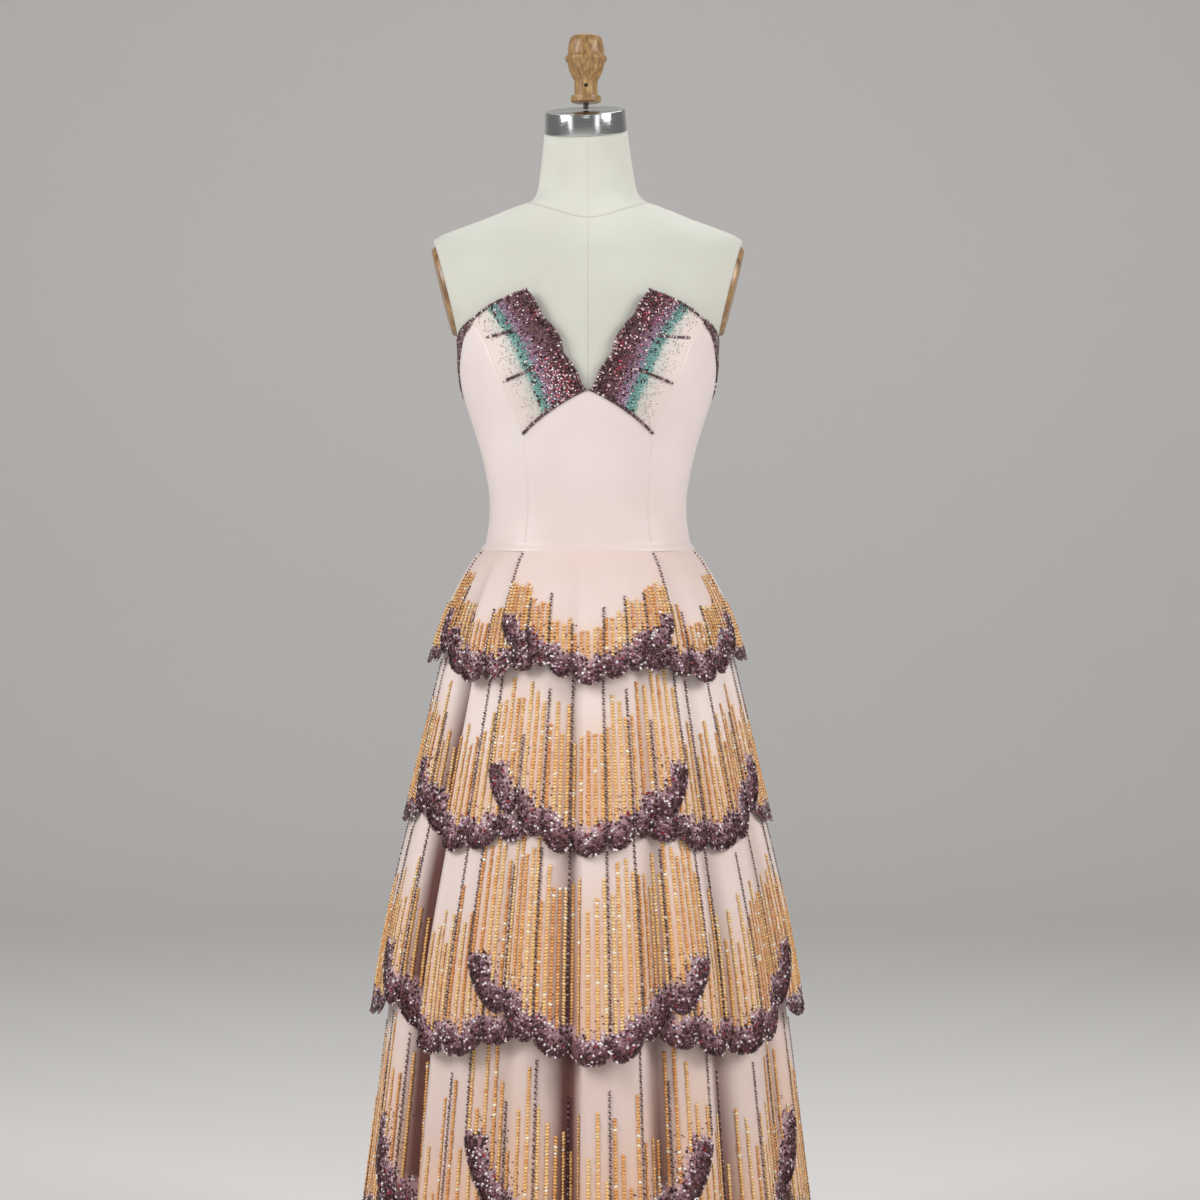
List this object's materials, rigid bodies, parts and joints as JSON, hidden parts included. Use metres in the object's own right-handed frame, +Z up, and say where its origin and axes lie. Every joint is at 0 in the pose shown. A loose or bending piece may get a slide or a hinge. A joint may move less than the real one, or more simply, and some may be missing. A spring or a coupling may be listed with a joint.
{
  "type": "strapless evening dress on a limbless dress form",
  "caption": "Strapless floor-length evening dress with winged cups and tiers of scalloped beaded petals, worn by a limbless linen dress form on a round stand.",
  "frame": {"origin": "centre of the flat underside of the stand's base, on the floor", "axes": "+Z up along the stand's pole, the dress faces -Y, +X to the right of someone who looks at its front"},
  "size_m": [0.5561, 0.5405, 1.6135],
  "materials": {
    "satin": "blush satin with a soft sheen",
    "chiffon": "blush chiffon",
    "beading": "tulle covered in plum and teal sequins",
    "linen": "off-white linen",
    "steel": "bright brushed steel",
    "wood": "oiled wood",
    "iron": "black painted iron"
  },
  "bodies": {
    "root": {"form_body": "linen", "form_neck_cap": "steel", "form_finial": "wood", "form_finial_rod": "steel", "form_arm_plate_left": "wood", "form_arm_plate_right": "wood", "stand_base": "iron", "stand_pole": "steel", "bodice_front": "satin", "bodice_side_left": "satin", "bodice_side_right": "satin", "bodice_back_left": "satin", "bodice_back_right": "satin", "cup_left": "beading", "cup_right": "beading", "underskirt_front": "chiffon", "underskirt_back": "chiffon", "tier_1_petal_front": "chiffon", "tier_1_petal_front_right": "chiffon", "tier_1_petal_side_right": "chiffon", "tier_1_petal_back_right": "chiffon", "tier_1_petal_back": "chiffon", "tier_1_petal_back_left": "chiffon", "tier_1_petal_side_left": "chiffon", "tier_1_petal_front_left": "chiffon", "tier_2_petal_front": "chiffon", "tier_2_petal_front_right": "chiffon", "tier_2_petal_side_right": "chiffon", "tier_2_petal_back_right": "chiffon", "tier_2_petal_back": "chiffon", "tier_2_petal_back_left": "chiffon", "tier_2_petal_side_left": "chiffon", "tier_2_petal_front_left": "chiffon", "tier_3_petal_front": "chiffon", "tier_3_petal_front_right": "chiffon", "tier_3_petal_side_right": "chiffon", "tier_3_petal_back_right": "chiffon", "tier_3_petal_back": "chiffon", "tier_3_petal_back_left": "chiffon", "tier_3_petal_side_left": "chiffon", "tier_3_petal_front_left": "chiffon", "tier_4_petal_front": "chiffon", "tier_4_petal_front_right": "chiffon", "tier_4_petal_side_right": "chiffon", "tier_4_petal_back_right": "chiffon", "tier_4_petal_back": "chiffon", "tier_4_petal_back_left": "chiffon", "tier_4_petal_side_left": "chiffon", "tier_4_petal_front_left": "chiffon"}
  },
  "joints": []
}
